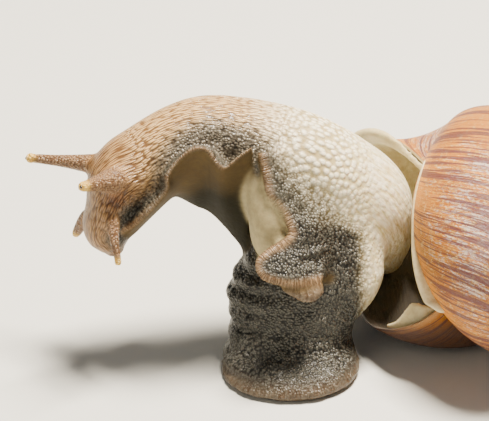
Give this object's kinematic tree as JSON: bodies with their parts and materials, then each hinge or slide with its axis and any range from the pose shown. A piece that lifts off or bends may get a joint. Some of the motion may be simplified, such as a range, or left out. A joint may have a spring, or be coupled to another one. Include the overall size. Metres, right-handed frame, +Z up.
{
  "type": "giant african land snail",
  "caption": "Life-size land snail out of its shell, with an arched neck, four feelers, a frilled foot and a tall spiral shell.",
  "frame": {"origin": "on the floor, under the middle of the whole snail", "axes": "+X from the head towards the shell's tip, +Z up, the tail tip and the shell's tip towards -Y"},
  "size_m": [0.1226, 0.0722, 0.054],
  "materials": {
    "shell": "glossy horn skin worn to a pale lilac underneath",
    "mantle": "wet, cream",
    "trunk_skin": "wet, pale, wrinkled",
    "neck_skin": "wet, long ridges",
    "head_skin": "wet, fine ridges",
    "sole": "wet, smooth tan",
    "tail_skin": "wet, dark, granulated",
    "feeler_skin": "wet, purple brown with cream knobs",
    "eye": "glossy black"
  },
  "bodies": {
    "root": {"shell": "shell", "mantle_collar": "mantle", "mantle_roll": "mantle", "trunk": "trunk_skin", "neck": "neck_skin", "head": "head_skin", "foot_front": "sole", "foot_lobe": "sole", "tail": "tail_skin", "eye_far": "eye", "upper_feeler_far": "feeler_skin", "eye_near": "eye", "upper_feeler_near": "feeler_skin", "lower_feeler_far": "feeler_skin", "lower_feeler_near": "feeler_skin"}
  },
  "joints": []
}
